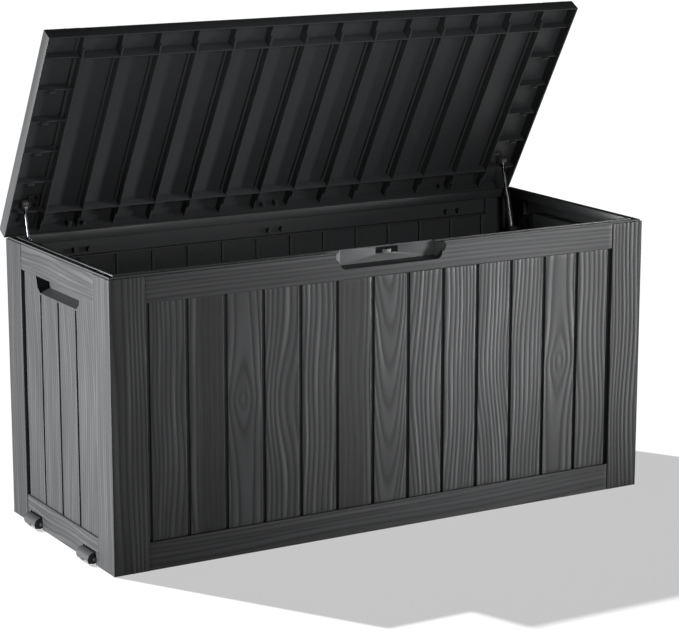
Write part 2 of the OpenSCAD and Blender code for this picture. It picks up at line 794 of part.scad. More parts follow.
// Cup over the lid stud, open on the side the stud comes in from
module upper_socket(side) {
    cap = 1.6;
    color(black_paint) strut_place(side) difference() {
        union() {
            translate([0, 0, strut_len]) along_x(socket_r, socket_w);
            translate([0, 0, strut_len - socket_r - socket_boss])
                cylinder(r = rod_r + 2.2, h = socket_boss + 3);
        }
        translate([-side * cap, 0, strut_len]) along_x(stud_r + socket_play, socket_w);
        translate([0, 0, strut_len - socket_r - socket_boss - 1])
            cylinder(r = rod_r + set_gap, h = socket_boss + 1.7);
    }
}

// Plate under the lid with an ear and the stud that the upper socket sits on
module lid_bracket(side) {
    stud_len = socket_w;
    color(steel) lid_pose() difference() {
        union() {
            translate([side > 0 ? ear_x - 24 : -ear_x, up_y - 14, lid_under - 4 - bracket_t])
                cube([24, 28, bracket_t]);
            translate([side > 0 ? ear_x - ear_t : -ear_x, up_y - 7, up_z - 5])
                cube([ear_t, 14, lid_under - 4 - up_z + 5]);
            translate([side * (ear_x + stud_len / 2 - over), up_y, up_z])
                along_x(stud_r, stud_len);
        }
        for (k = [-1, 1]) translate([side * (ear_x - 16), up_y + 9 * k, lid_under - 8])
            cylinder(r = screw_r + hole_gap, h = 6);
    }
}

module strut_left_body_bracket() body_bracket(-1);
module strut_left_lower_socket() lower_socket(-1);
module strut_left_cylinder() strut_cylinder(-1);
module strut_left_rod() strut_rod(-1);
module strut_left_upper_socket() upper_socket(-1);
module strut_left_lid_bracket() lid_bracket(-1);
module strut_right_body_bracket() body_bracket(1);
module strut_right_lower_socket() lower_socket(1);
module strut_right_cylinder() strut_cylinder(1);
module strut_right_rod() strut_rod(1);
module strut_right_upper_socket() upper_socket(1);
module strut_right_lid_bracket() lid_bracket(1);

// ---- rollers ---------------------------------------------------------------------------------

// Hood and cheeks round a roller, on a back plate behind the rail; near is the end whose half
// of the hood is cut short, so that the roller shows
module roller_housing(end, near = -1) {
    back = axle_x - body_w / 2 + plate_in + plate_t;
    cheek_y = hood_w / 2 - cheek_t / 2;
    color(resin) roller_place(end) difference() {
        union() {
            intersection() {
                difference() {
                    along_y(hood_r, hood_w);
                    along_y(roller_r + hood_gap, hood_w - 2 * cheek_t);
                }
                translate([-far, -far, 3 - roller_z]) cube([far + back, 2 * far, far]);
            }
            for (s = [-1, 1]) translate([back - plate_t - hood_r, s * cheek_y - cheek_t / 2,
                3.5 - roller_z]) cube([hood_r + over, cheek_t, roller_z - 3.5 + hood_r - 2]);
            translate([back - plate_t, -hood_w / 2 - plate_side, 4 - roller_z]) difference() {
                cube([plate_t, hood_w + 2 * plate_side, plate_h]);
                translate([-1, plate_side + cheek_t, -1])
                    cube([2 * plate_t, hood_w - 2 * cheek_t, roller_z - 4 + hood_r + 1]);
            }
        }
        translate([-hood_r - 1, near * hood_w / 4 - hood_w / 4 + cheek_t, -hood_r])
            cube([hood_r + 1, hood_w / 2 - cheek_t, hood_r - 3]);
        along_y(axle_r + set_gap, 2 * hood_w);
        for (s = [-1, 1]) translate([0, s * (hood_w / 2 + plate_side / 2), plate_screw_z - roller_z])
            along_x(boss_r + 0.3, far);
    }
}

module roller_wheel(end) {
    color(roller_black) roller_place(end) difference() {
        along_y(roller_r, roller_w);
        along_y(axle_r + run_gap, 2 * roller_w);
        for (s = [-1, 1]) translate([0, s * roller_w / 2, 0]) difference() {
            along_y(roller_r - 2, 3);
            along_y(axle_r + 2, 4);
        }
    }
}

module roller_axle(end) {
    color(steel) roller_place(end) {
        along_y(axle_r, hood_w + 1);
        for (s = [-1, 1]) translate([0, s * (hood_w / 2 + 0.9), 0]) along_y(axle_r + 1, 1.2);
    }
}

module roller_front_housing() roller_housing(-1);
module roller_front_wheel() roller_wheel(-1);
module roller_front_axle() roller_axle(-1);
module roller_rear_housing() roller_housing(1);
module roller_rear_wheel() roller_wheel(1);
module roller_rear_axle() roller_axle(1);

// ---- screws ----------------------------------------------------------------------------------

module corner_screws() {
    color(steel) for (sx = [-1, 1], sy = [-1, 1], z = corner_screw_z)
        translate([sx * (body_w / 2 - flange_in - skin), sy * (body_d / 2 - corner_screw_in), z])
            rotate([0, sx * 90, 0]) screw(flange_in - 1.5);
}

module base_screw(u) {
    translate([u, base_in + skin, base_screw_z]) rotate([90, 0, 0])
        screw(base_in - rail_inset - 1);
}

module base_screws() {
    color(steel) {
        for (side = [0, 2]) wall_place(side) for (u = base_screw_front) base_screw(u);
        for (side = [1, 3]) wall_place(side) for (u = base_screw_side) base_screw(u);
    }
}

module hinge_body_screws() {
    head_y = body_d / 2 - rail_inset + leaf_t;
    color(steel) for (x = hinge_at, s = [-1, 1])
        translate([x + s * leaf_screw_x, head_y, body_leaf_screw_z]) rotate([90, 0, 0]) screw(12);
}

module hinge_lid_screws() {
    color(steel) lid_pose() for (x = hinge_at, s = [-1, 1])
        translate([x + s * leaf_screw_x, lid_d / 2 + leaf_t,
            lid_top - lid_boss_drop]) rotate([90, 0, 0]) screw(12);
}

module strut_body_screws() {
    color(steel) for (side = [-1, 1], s = [-1, 1])
        translate([side * (body_w / 2 - bracket_in - bracket_t), low_y,
            low_z + s * bracket_screw]) rotate([0, side * 90, 0]) screw(7);
}

module strut_lid_screws() {
    color(steel) lid_pose() for (side = [-1, 1], k = [-1, 1])
        translate([side * (ear_x - 16), up_y + 9 * k, lid_under - 4 - bracket_t]) screw(6);
}

module roller_screws() {
    color(steel) for (e = [-1, 1], s = [-1, 1])
        translate([-body_w / 2 + plate_in + plate_t,
            e * roller_y + s * (hood_w / 2 + plate_side / 2), plate_screw_z])
            rotate([0, -90, 0]) screw(4.5, washer_r);
}

// ---- drawing ---------------------------------------------------------------------------------

front_panel();
back_panel();
left_panel();
right_panel();
base_panel();
lid();
hinge_left_body_leaf();
hinge_left_lid_leaf();
hinge_left_pin();
hinge_centre_body_leaf();
hinge_centre_lid_leaf();
hinge_centre_pin();
hinge_right_body_leaf();
hinge_right_lid_leaf();
hinge_right_pin();
strut_left_body_bracket();
strut_left_lower_socket();
strut_left_cylinder();
strut_left_rod();
strut_left_upper_socket();
strut_left_lid_bracket();
strut_right_body_bracket();
strut_right_lower_socket();
strut_right_cylinder();
strut_right_rod();
strut_right_upper_socket();
strut_right_lid_bracket();
roller_front_housing();
roller_front_wheel();
roller_front_axle();
roller_rear_housing();
roller_rear_wheel();
roller_rear_axle();
corner_screws();
base_screws();
hinge_body_screws();
hinge_lid_screws();
strut_body_screws();
strut_lid_screws();
roller_screws();
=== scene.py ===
"""Looks of the deck storage box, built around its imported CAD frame.

The four walls and the lid are the same mouldings as in the CAD, cut into fine strips so that each
board carries its own raised wood grain and rounded edges. The hardware keeps its CAD shape, with
broken edges where it shows, and every piece gets the finish of its real material.
"""

import json
import logging
import math
from collections.abc import Callable
from dataclasses import dataclass, field
from enum import Enum

import bmesh
import bpy
import numpy as np
from mathutils import Matrix, Vector


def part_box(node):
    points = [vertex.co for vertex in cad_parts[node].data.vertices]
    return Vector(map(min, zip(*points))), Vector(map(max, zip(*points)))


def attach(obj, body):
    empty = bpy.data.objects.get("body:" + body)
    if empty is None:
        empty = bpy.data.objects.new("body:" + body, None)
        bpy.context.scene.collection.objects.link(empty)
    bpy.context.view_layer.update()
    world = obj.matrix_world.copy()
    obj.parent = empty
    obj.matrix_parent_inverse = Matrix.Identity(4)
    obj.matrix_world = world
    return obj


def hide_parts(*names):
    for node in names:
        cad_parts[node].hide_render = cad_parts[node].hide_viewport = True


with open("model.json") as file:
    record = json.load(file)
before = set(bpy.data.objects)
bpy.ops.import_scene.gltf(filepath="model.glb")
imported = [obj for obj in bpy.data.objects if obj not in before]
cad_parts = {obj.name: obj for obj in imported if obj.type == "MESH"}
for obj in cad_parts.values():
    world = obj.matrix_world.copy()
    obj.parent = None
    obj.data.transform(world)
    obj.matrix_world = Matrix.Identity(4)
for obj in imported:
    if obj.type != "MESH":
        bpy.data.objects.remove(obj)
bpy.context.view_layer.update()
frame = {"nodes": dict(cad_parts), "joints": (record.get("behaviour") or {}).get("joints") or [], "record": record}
log = logging.getLogger("deck_box")

MM = 0.001
SHARP_ANGLE = math.radians(32)  # corners sharper than this keep their edge
Colour = tuple[float, float, float, float]

NOISE_ENDS = {"From Min": 0.3, "From Max": 0.7}  # a noise keeps to its middle
MIX_FACTOR, MIX_A, MIX_B = 0, 6, 7  # a Mix node's inputs when it mixes colours
MIX_COLOUR = 2  # and its output


# ---- finishes --------------------------------------------------------------------------------


def linear(colour: str) -> Colour:
    """Turns an sRGB hex colour into the linear colour that the shaders work in.

    Args:
        colour: The colour as "#rrggbb".

    Returns:
        Red, green, blue and an alpha of 1, linear.
    """
    channels = [int(colour[i : i + 2], 16) / 255 for i in (1, 3, 5)]
    red, green, blue = [
        c / 12.92 if c <= 0.04045 else ((c + 0.055) / 1.055) ** 2.4 for c in channels
    ]
    return (red, green, blue, 1.0)


def add_node(
    tree: bpy.types.NodeTree, kind: str, inputs: dict | None = None, **settings: object
) -> bpy.types.Node:
    """Adds one shader node with its settings and links.

    Args:
        tree: The material's node tree.
        kind: The node's type name.
        inputs: Input name or number to a value, or to the output socket that feeds it.
        **settings: Fields of the node itself.

    Returns:
        The new node.
    """
    node = tree.nodes.new(kind)
    for name, value in settings.items():
        setattr(node, name, value)
    for name, value in (inputs or {}).items():
        if isinstance(value, bpy.types.NodeSocket):
            tree.links.new(value, node.inputs[name])
        else:
            node.inputs[name].default_value = value
    return node


@dataclass(frozen=True)
class Finish:
    """What every finish has: a name, a colour, and how its surface takes the light.

    Attributes:
        name: The real material, which names Blender's material.
        colour: Its main tone, in sRGB hex.
        roughness: The middle of its roughness.
        spread: How far the roughness strays from that.
        ior: Index of refraction, for anything but metal.
        gloss: Blender's specular level, for anything but metal.
        metallic: 1 for metal.
    """

    name: str
    colour: str
    roughness: float
    spread: float = 0.06
    ior: float = 1.49
    gloss: float = 0.5
    metallic: float = 0.0

    def material(self) -> bpy.types.Material:
        """Returns the finish's material, which is made once."""
        made = bpy.data.materials.get(self.name)
        if made is None:
            made = bpy.data.materials.new(self.name)
            made.use_nodes = True
            tree = made.node_tree
            tree.nodes.clear()
            shader = add_node(tree, "ShaderNodeBsdfPrincipled", {"Roughness": self.roughness})
            if self.metallic:
                shader.inputs["Metallic"].default_value = self.metallic
            else:
                shader.inputs["IOR"].default_value = self.ior
                shader.inputs["Specular IOR Level"].default_value = self.gloss
            self.dress(tree, shader)
            add_node(tree, "ShaderNodeOutputMaterial", {"Surface": shader.outputs["BSDF"]})
        return made

    def dress(self, tree: bpy.types.NodeTree, shader: bpy.types.Node) -> None:
        """Adds the finish's own pattern; each kind of finish has its own."""
        raise NotImplementedError

    def place(
        self, tree: bpy.types.NodeTree, size: tuple[float, float, float]
    ) -> bpy.types.NodeSocket:
        """Gives coordinates on the object that count in pattern sizes.

        Args:
            tree: The material's node tree.
            size: The pattern's size along X, Y and Z, in metres.

        Returns:
            The socket with the scaled coordinates.
        """
        coordinates = add_node(tree, "ShaderNodeTexCoord")
        mapping = add_node(
            tree,
            "ShaderNodeMapping",
            {"Vector": coordinates.outputs["Object"], "Scale": tuple(1 / s for s in size)},
        )
        return mapping.outputs["Vector"]

    def tint(
        self,
        shader: bpy.types.Node,
        pattern: bpy.types.NodeSocket,
        share: tuple[float, float],
        first: bpy.types.NodeSocket | Colour,
        second: Colour,
    ) -> None:
        """Lets a pattern mix two tones.

        Args:
            shader: The material's shader.
            pattern: The pattern.
            share: How much of the second tone shows at the pattern's low and high end.
            first: The first tone, or the socket that gives it.
            second: The second tone.
        """
        tree = shader.id_data
        amount = add_node(
            tree,
            "ShaderNodeMapRange",
            {"Value": pattern, **NOISE_ENDS, "To Min": share[0], "To Max": share[1]},
        )
        mix = add_node(
            tree,
            "ShaderNodeMix",
            {MIX_FACTOR: amount.outputs["Result"], MIX_A: first, MIX_B: second},
            data_type="RGBA",
        )
        tree.links.new(mix.outputs[MIX_COLOUR], shader.inputs["Base Color"])

    def wear(
        self,
        shader: bpy.types.Node,
        shine: bpy.types.NodeSocket,
        spread: float,
        *reliefs: tuple[bpy.types.NodeSocket, float],
    ) -> None:
        """Lets patterns change the shine and the height of the surface.

        Args:
            shader: The material's shader.
            shine: Pattern that changes the roughness.
            spread: Change in roughness from the pattern's middle to its high end.
            *reliefs: Patterns that raise the surface, each with its height in metres.
        """
        tree = shader.id_data
        rough = add_node(
            tree,
            "ShaderNodeMapRange",
            {
                "Value": shine,
                **NOISE_ENDS,
                "To Min": self.roughness - spread,
                "To Max": self.roughness + spread,
            },
        )
        tree.links.new(rough.outputs["Result"], shader.inputs["Roughness"])
        under: dict[str, bpy.types.NodeSocket] = {}
        for pattern, height in reliefs:
            bump = add_node(
                tree,
                "ShaderNodeBump",
                {"Height": pattern, "Distance": height, "Strength": 1.0, **under},
            )
            under = {"Normal": bump.outputs["Normal"]}
        tree.links.new(under["Normal"], shader.inputs["Normal"])


@dataclass(frozen=True)
class MouldedResin(Finish):
    """Polypropylene moulded against spark-eroded steel: a dull skin with a soft sheen.

    The mould's fine pitting scatters the light, so that edges catch a wide, soft line and not a
    sharp one. A broad mottle leaves patches a little paler and shinier, as where the skin is handled.
    """

    worn: str = "#2c2d2e"
    gloss: float = 0.2  # the pits trap more than half of the mirrored light
    pit_size: float = 1.8 * MM  # real pitting is 0.1 mm; drawn coarser, as it needs to show
    pit_depth: float = 0.05 * MM
    mottle_size: float = 70 * MM

    def dress(self, tree: bpy.types.NodeTree, shader: bpy.types.Node) -> None:
        """Adds mottle, pitting and a slight shine where the skin is handled."""
        mottle = add_node(
            tree,
            "ShaderNodeTexNoise",
            {"Vector": self.place(tree, (self.mottle_size,) * 3), "Scale": 1.0, "Detail": 3.0},
        )
        pits = add_node(
            tree,
            "ShaderNodeTexNoise",
            {"Vector": self.place(tree, (self.pit_size,) * 3), "Scale": 1.0, "Detail": 2.0},
        )
        fac = mottle.outputs["Fac"]
        self.tint(shader, fac, (0.0, 0.55), linear(self.colour), linear(self.worn))
        self.wear(shader, fac, -self.spread, (pits.outputs["Fac"], self.pit_depth))


@dataclass(frozen=True)
class GrainedResin(Finish):
    """Polypropylene moulded against a wood-grained mould.

    The growth lines are shaped in the mesh. Between them the mould leaves fine brushed fibres,
    which the eye reads as streaks along the board. The hollows between the lines carry painted
    shade, and the tops of the lines are paler, partly burnished and partly a painted sheen.
    """

    # tone of the raised lines: partly burnish, partly a painted sheen
    worn: str = "#343536"
    # painted shade: a near-black tone that darkens the hollows between the growth lines
    painted_hollow_shade: str = "#0e0e0f"
    gloss: float = 0.14  # the pits and fibres trap most of the mirrored light
    fibre_width: float = 2.6 * MM  # real fibres are 0.4 mm; drawn coarser, as they need to show
    fibre_length: float = 70 * MM
    fibre_depth: float = 0.12 * MM
    pit_size: float = 1.8 * MM  # real pitting is 0.1 mm; drawn coarser, as it needs to show
    pit_depth: float = 0.04 * MM

    def dress(self, tree: bpy.types.NodeTree, shader: bpy.types.Node) -> None:
        """Adds streaks along each board, painted shade in the grain's hollows, and paler raised lines, partly
        burnish and partly painted sheen.
        """
        board = add_node(tree, "ShaderNodeAttribute", attribute_name="board_place")
        relief = add_node(tree, "ShaderNodeAttribute", attribute_name="grain_height")
        along = add_node(
            tree,
            "ShaderNodeMapping",
            {
                "Vector": board.outputs["Vector"],
                "Scale": (1 / self.fibre_width, 1 / self.fibre_length, 1.0),
            },
        )
        fibres = add_node(
            tree,
            "ShaderNodeTexNoise",
            {"Vector": along.outputs["Vector"], "Scale": 1.0, "Detail": 4.0, "Roughness": 0.6},
        )
        pits = add_node(
            tree,
            "ShaderNodeTexNoise",
            {"Vector": self.place(tree, (self.pit_size,) * 3), "Scale": 1.0, "Detail": 2.0},
        )
        # mixes from painted shade in the hollows up to the raised lines' tone, which is partly burnish and partly
        # painted sheen
        raised = add_node(
            tree,
            "ShaderNodeMix",
            {
                MIX_FACTOR: relief.outputs["Fac"],
                MIX_A: linear(self.painted_hollow_shade),
                MIX_B: linear(self.worn),
            },
            data_type="RGBA",
        )
        fac = fibres.outputs["Fac"]
        self.tint(shader, fac, (0.0, 0.5), raised.outputs[MIX_COLOUR], linear(self.colour))
        self.wear(
            shader,
            fac,
            -self.spread,
            (fac, self.fibre_depth),
            (pits.outputs["Fac"], self.pit_depth),
        )


@dataclass(frozen=True)
class PowderCoat(Finish):
    """Polyester powder baked on steel: a satin skin with a slight orange peel."""

    dust: str = "#303133"
    peel_size: float = 1.6 * MM
    peel_depth: float = 0.04 * MM

    def dress(self, tree: bpy.types.NodeTree, shader: bpy.types.Node) -> None:
        """Adds the orange peel and a little dust on it."""
        peel = add_node(
            tree,
            "ShaderNodeTexNoise",
            {"Vector": self.place(tree, (self.peel_size,) * 3), "Scale": 1.0, "Detail": 1.0},
        )
        fac = peel.outputs["Fac"]
        self.tint(shader, fac, (0.0, 0.4), linear(self.colour), linear(self.dust))
        self.wear(shader, fac, self.spread, (fac, self.peel_depth))


@dataclass(frozen=True)
class ZincPlate(Finish):
    """Steel screws, zinc plated and blackened: small clouded grains with a dull shine."""

    cloud: str = "#38393b"
    grain_size: float = 2.5 * MM
    cloud_depth: float = 0.02 * MM

    def dress(self, tree: bpy.types.NodeTree, shader: bpy.types.Node) -> None:
        """Adds the clouding of the plating, in tone and in shine."""
        grains = add_node(
            tree,
            "ShaderNodeTexVoronoi",
            {"Vector": self.place(tree, (self.grain_size,) * 3), "Scale": 1.0},
        )
        clouds = add_node(
            tree,
            "ShaderNodeTexNoise",
            {"Vector": self.place(tree, (4 * self.grain_size,) * 3), "Scale": 1.0, "Detail": 4.0},
        )
        fac = clouds.outputs["Fac"]
        self.tint(shader, fac, (0.0, 1.0), linear(self.colour), linear(self.cloud))
        self.wear(shader, grains.outputs["Distance"], self.spread, (fac, self.cloud_depth))


@dataclass(frozen=True)
class DrawnSteel(Finish):
    """Cold-drawn steel bar: bright, with fine lines along the way it was drawn."""

    line_size: tuple[float, float, float] = (30 * MM, 0.6 * MM, 0.6 * MM)
    line_depth: float = 0.01 * MM
    dull: str = "#77797b"

    def dress(self, tree: bpy.types.NodeTree, shader: bpy.types.Node) -> None:
        """Adds the drawing lines, in tone, shine and height."""
        lines = add_node(
            tree,
            "ShaderNodeTexNoise",
            {"Vector": self.place(tree, self.line_size), "Scale": 1.0, "Detail": 3.0},
        )
        fac = lines.outputs["Fac"]
        self.tint(shader, fac, (0.0, 1.0), linear(self.colour), linear(self.dull))
        self.wear(shader, fac, self.spread, (fac, self.line_depth))


@dataclass(frozen=True)
class MouldedNylon(Finish):
    """Glass-filled nylon, smooth moulded: close and dark, scuffed grey where it rubs."""

    scuff: str = "#3a3a3b"
    scuff_size: float = 5 * MM
    scuff_depth: float = 0.03 * MM

    def dress(self, tree: bpy.types.NodeTree, shader: bpy.types.Node) -> None:
        """Adds scuffs, paler and rougher than the clean skin."""
        scuffs = add_node(
            tree,
            "ShaderNodeTexNoise",
            {"Vector": self.place(tree, (self.scuff_size,) * 3), "Scale": 1.0, "Detail": 6.0},
        )
        fac = scuffs.outputs["Fac"]
        self.tint(shader, fac, (0.0, 0.7), linear(self.colour), linear(self.scuff))
        self.wear(shader, fac, self.spread, (fac, self.scuff_depth))


@dataclass(frozen=True)
class StudioFloor(Finish):
    """White painted studio floor, lit from within like a light table."""

    patch: str = "#a0a0a0"
    patch_size: float = 400 * MM
    glow: float = 0.55

    def dress(self, tree: bpy.types.NodeTree, shader: bpy.types.Node) -> None:
        """Adds a faint unevenness to the paint, and the glow."""
        paint = add_node(
            tree,
            "ShaderNodeTexNoise",
            {"Vector": self.place(tree, (self.patch_size,) * 3), "Scale": 1.0, "Detail": 2.0},
        )
        patches = paint.outputs["Fac"]
        self.tint(shader, patches, (0.0, 1.0), linear(self.colour), linear(self.patch))
        shader.inputs["Emission Color"].default_value = linear("#ffffff")
        shader.inputs["Emission Strength"].default_value = self.glow


GRAINED = GrainedResin("grained_resin", "#28292a", 0.46)
SMOOTH = MouldedResin("moulded_resin", "#262728", 0.44)
BASE_RESIN = MouldedResin("moulded_base_resin", "#262728", 0.5, worn="#2e2f30")
HOUSING = MouldedResin("moulded_housing_resin", "#262728", 0.46, worn="#2c2d2e")
BLACK_PAINT = PowderCoat("black_powder_coat", "#1d1d1f", 0.42)
CYLINDER_PAINT = PowderCoat("painted_cylinder", "#141415", 0.3, peel_depth=0.02 * MM)
BLACK_ZINC = ZincPlate("black_zinc", "#47484a", 0.42, metallic=1.0, cloud="#38393b")
PIN_STEEL = DrawnSteel("drawn_steel_pin", "#a9abac", 0.3, metallic=1.0)
AXLE_STEEL = DrawnSteel(
    "drawn_steel_axle", "#a9abac", 0.3, metallic=1.0, line_size=(0.6 * MM, 30 * MM, 0.6 * MM)
)
ROD_STEEL = DrawnSteel("nitrided_rod", "#3b3c3f", 0.2, metallic=1.0, dull="#303134", spread=0.04)
ROLLER_NYLON = MouldedNylon("moulded_roller_nylon", "#161617", 0.42)
SOCKET_NYLON = MouldedNylon("moulded_socket_nylon", "#1a1a1b", 0.38, scuff_size=3 * MM)
FLOOR = StudioFloor("studio_floor", "#9c9c9c", 0.9)


# ---- wood grain ------------------------------------------------------------------------------


class Figure(Enum):
    """How the growth lines run on a board."""

    STRAIGHT = "straight lines that lean a little"
    SWAY = "lines that bulge to one side half way"
    QUIET = "a quiet board with a few lines along one edge"
    EYE = "lines that flow round a long eye"
    ARCHES = "pointed arches that open to one end"
    FAINT = "low, broad lines"


@dataclass
class BoardGrain:
    """The raised growth lines of one board, as depths below its face.

    Attributes:
        width: Size of the board across its grain.
        length: Size of the board along its grain.
        figure: How the lines run.
        seed: Start of the board's own random draws.
        relief: Height of the tallest lines.
    """

    width: float
    length: float
    figure: Figure
    seed: int
    relief: float

    def __post_init__(self) -> None:
        """Draws the board's own pitch, lean, sway and line heights."""
        draw = np.random.default_rng(self.seed)
        self.pitch = draw.uniform(8.5, 12.0) * MM
        self.lean = draw.uniform(-0.022, 0.022)
        self.sway = draw.uniform(0.15, 0.5, 2)
        self.phases = draw.uniform(0, math.tau, 6)
        self.gather = draw.uniform(0.2, 0.7)
        self.breadth = draw.uniform(1.6, 3.2)
        self.heights = draw.uniform(0.5, 1.0, 97)
        self.fades = draw.uniform(0, math.tau, 97)
        self.side = draw.choice((-1.0, 1.0))
        self.centre = draw.uniform(-0.12, 0.12) * self.width
        self.heart = draw.uniform(-0.06, 0.12) * self.length

    def field(self, across: np.ndarray, along: np.ndarray) -> np.ndarray:
        """Counts growth lines: a whole number lies in each hollow between two lines.

        Args:
            across: Distances from the board's middle across the grain.
            along: Distances from the board's middle along the grain.

        Returns:
            The count at each point, with fractions.
        """
        slow, quick, side, wide, *_ = self.phases
        away = along - self.heart
        shift = self.lean * along
        shift += self.sway[0] * self.pitch * np.sin(math.tau * along / (1.7 * self.length) + slow)
        quick_wave = np.sin(math.tau * along / (0.6 * self.length) + quick)
        shift += 0.5 * self.sway[1] * self.pitch * quick_wave
        if self.figure is Figure.SWAY:
            bulge = np.exp(-((away / (0.24 * self.length)) ** 2))
            shift += self.side * 1.3 * self.pitch * bulge
        placed = across - self.centre + shift
        if self.figure is Figure.EYE:
            reach = 0.16 * self.length
            opening = 1 - np.exp(-(np.hypot(away, 0.2 * reach) - 0.2 * reach) / reach)
            return np.sqrt(placed**2 + (2.4 * self.pitch) ** 2 * opening) / self.pitch + 0.3
        if self.figure is Figure.ARCHES:
            arch = placed**2 / (4.4 * self.pitch**2)
            return arch + self.side * away / (0.17 * self.length) + 20
        gathered = self.gather * np.sin(0.8 * math.tau * across / self.width + side)
        return placed / self.pitch + gathered * (
            0.7 + 0.3 * np.sin(math.tau * along / self.length + wide)
        )

    def height(self, across: np.ndarray, along: np.ndarray) -> np.ndarray:
        """Gives how raised the grain is, from 0 in the hollows to 1 on the tallest lines."""
        count = self.field(across, along)
        line = np.floor(count).astype(int) % len(self.heights)
        offset = np.abs(2 * (count - np.floor(count)) - 1)
        ridge = 1 - offset**self.breadth
        fade = 0.82 + 0.18 * np.sin(math.tau * along / (0.7 * self.length) + self.fades[line])
        height = self.heights[line] * fade * ridge
        if self.figure is Figure.QUIET:
            height *= 0.2 + 0.8 * np.clip(6 * self.side * across / self.width - 1.2, 0, 1)
        return np.clip(height, 0, 1)

    def depth(self, height: np.ndarray) -> np.ndarray:
        """Gives how far below the board's face each point lies."""
        return self.relief * (1 - height)


# ---- mouldings with boards -------------------------------------------------------------------


@dataclass
class BoardMoulding:
    """A moulding whose outer face is made of boards: a wall panel or the lid.

    Attributes:
        node: The CAD node that it stands for.
        body: The body that it rides on.
        slot: The record's material slot. Not used.
        to_local: Turns the row frame at rest into the face frame: X across, Y inwards from the
            outermost boards, Z up the boards.
        figures: The figures of the upright boards, from one end to the other.
        relief: Height of the grain.
        seed: Start of the panel's random draws.
        round_edge: Radius of the rounding along each board's edges.
        fine: Distance between the cuts across the grain.
        coarse: Distance between the cuts along the grain.
        deepest_board: How far in from the outermost boards a face still counts as a board.
        smallest_board: Least width of a board.
        edge_break: How far the other edges are rounded.
    """

    node: str
    body: str
    slot: str
    to_local: Matrix
    figures: tuple[Figure, ...]
    relief: float = 0.9 * MM
    seed: int = 1
    round_edge: float = 1.3 * MM
    fine: float = 1.7 * MM
    coarse: float = 9.0 * MM
    deepest_board: float = 4.5 * MM
    smallest_board: float = 30 * MM
    edge_break: float = 0.45 * MM

    def build(self) -> bpy.types.Object:
        """Builds the moulding in the place of its CAD node.

        Returns:
            The new object.
        """
        mesh = node_mesh(self.node, self.node + "_moulding")
        bm = bmesh.new()
        bm.from_mesh(mesh)
        bm.transform(self.to_local)
        weld(bm)
        break_edges(bm, self.edge_break, self.takes_break)
        place = bm.verts.layers.float_vector.new("board_place")
        height = bm.verts.layers.float.new("grain_height")
        owner = bm.faces.layers.int.new("board")
        boards = self.find_boards(bm)
        extents = [extent(faces) for faces in boards]
        board_faces: set[bmesh.types.BMFace] = set()
        uprights = 0
        for number, faces in enumerate(self.cut_boards(bm, boards, extents, owner)):
            low, high = extents[number]
            figure = Figure.FAINT
            if is_upright(low, high):
                figure = self.figures[uprights % len(self.figures)]
                uprights += 1
            grain = self.grain(number, figure, high - low)
            self.press(faces, extents[number], grain, place, height)
            board_faces.update(faces)
        bm.normal_update()
        self.mark_edges(bm, board_faces)
        bm.transform(self.to_local.inverted())
        bm.to_mesh(mesh)
        bm.free()
        mesh.materials.append(SMOOTH.material())
        mesh.materials.append(GRAINED.material())
        moulding = bpy.data.objects.new(self.node + "_moulding", mesh)
        bpy.context.scene.collection.objects.link(moulding)
        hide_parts(self.node)
        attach(moulding, self.body)
        log.info("%s: %d boards, %d faces", self.node, len(boards), len(mesh.polygons))
        return moulding

    def is_board(self, face: bmesh.types.BMFace) -> bool:
        """Tells whether a face lies on the outer side, no deeper than the boards do."""
        return face.normal.y < -0.999 and face.verts[0].co.y < self.deepest_board

    def takes_break(self, edge: bmesh.types.BMEdge) -> bool:
        """Tells whether an edge gets a small break, which those of the boards don't."""
        return not any(self.is_board(f) for f in edge.link_faces)

    def find_boards(self, bm: bmesh.types.BMesh) -> list[list[bmesh.types.BMFace]]:
        """Finds the boards: flat regions of the outer side, ordered across and then up.

        Args:
            bm: The moulding in its face frame.

        Returns:
            The faces of each board.
        """
        loose = {f for f in bm.faces if self.is_board(f)}
        boards = []
        for start in sorted(loose, key=lambda f: f.index):
            if start not in loose:
                continue
            region, edge_of_region = [], [start]
            loose.discard(start)
            while edge_of_region:
                face = edge_of_region.pop()
                region.append(face)
                for near in (f for e in face.edges for f in e.link_faces if f in loose):
                    loose.discard(near)
                    edge_of_region.append(near)
            low, high = extent(region)
            if min(high.x - low.x, high.z - low.z) > self.smallest_board:
                boards.append((round(low.x, 3), round(low.z, 3), region))
        boards.sort(key=lambda b: b[:2])
        return [region for _, _, region in boards]

    def cut_boards(
        self,
        bm: bmesh.types.BMesh,
        boards: list[list[bmesh.types.BMFace]],
        extents: list[tuple[Vector, Vector]],
        owner: bmesh.types.BMLayerItem,
    ) -> list[list[bmesh.types.BMFace]]:
        """Cuts the boards into fine strips across their grain, and these into lengths.

        All the strips come first, and boards with the same ends get their lengths together,
        because a cut takes longer the more faces the whole mesh has.

        Args:
            bm: The moulding in its face frame.
            boards: The faces of each board.
            extents: The lowest and highest corner of each board.
            owner: Layer for the board that a face belongs to.

        Returns:
            The new faces of each board.
        """
        alike: dict[tuple[int, float, float], set[bmesh.types.BMFace]] = {}
        for number, (faces, (low, high)) in enumerate(zip(boards, extents)):
            for face in faces:
                face[owner] = number + 1
                face.material_index = 1
            across, along = (0, 2) if is_upright(low, high) else (2, 0)
            strips = self.slice(
                bm, set(faces), across, self.cuts(low[across], high[across], self.fine)
            )
            ends = (along, round(low[along], 5), round(high[along], 5))
            alike.setdefault(ends, set()).update(strips)
        for (along, start, end), faces in alike.items():
            self.slice(bm, faces, along, self.cuts(start, end, self.coarse))
        cut: list[list[bmesh.types.BMFace]] = [[] for _ in boards]
        for face in bm.faces:
            if face[owner]:
                cut[face[owner] - 1].append(face)
        return cut

